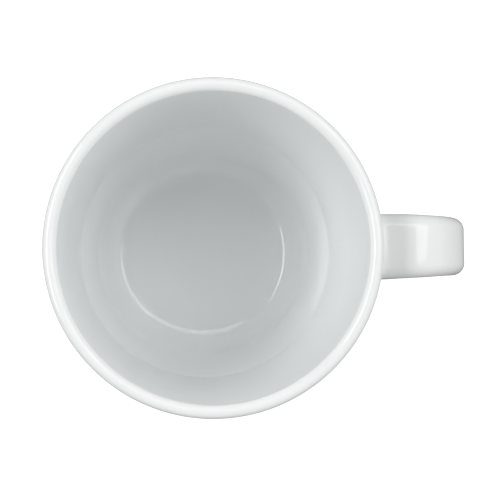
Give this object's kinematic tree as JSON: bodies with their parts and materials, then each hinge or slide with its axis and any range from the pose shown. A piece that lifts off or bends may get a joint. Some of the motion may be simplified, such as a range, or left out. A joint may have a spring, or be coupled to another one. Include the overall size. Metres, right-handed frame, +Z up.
{
  "type": "mug",
  "caption": "White glazed ceramic mug with a tapered cup, rounded lip, foot ring and side strap handle.",
  "frame": {"origin": "on the surface the mug stands on, under the middle of the whole mug, cup and handle together", "axes": "+Z up, +X towards the handle; the cup's own axis is upright at x = -12.5 mm"},
  "size_m": [0.111, 0.086, 0.092],
  "materials": {
    "porcelain": "matt bisque",
    "slip_clay": "matt bisque",
    "glaze": "gloss"
  },
  "bodies": {
    "root": {"cup_body": "porcelain", "handle": "porcelain", "upper_luting_slip": "slip_clay", "lower_luting_slip": "slip_clay", "inner_glaze": "glaze", "outer_glaze": "glaze", "handle_glaze": "glaze", "foot_recess_glaze": "glaze"}
  },
  "joints": []
}
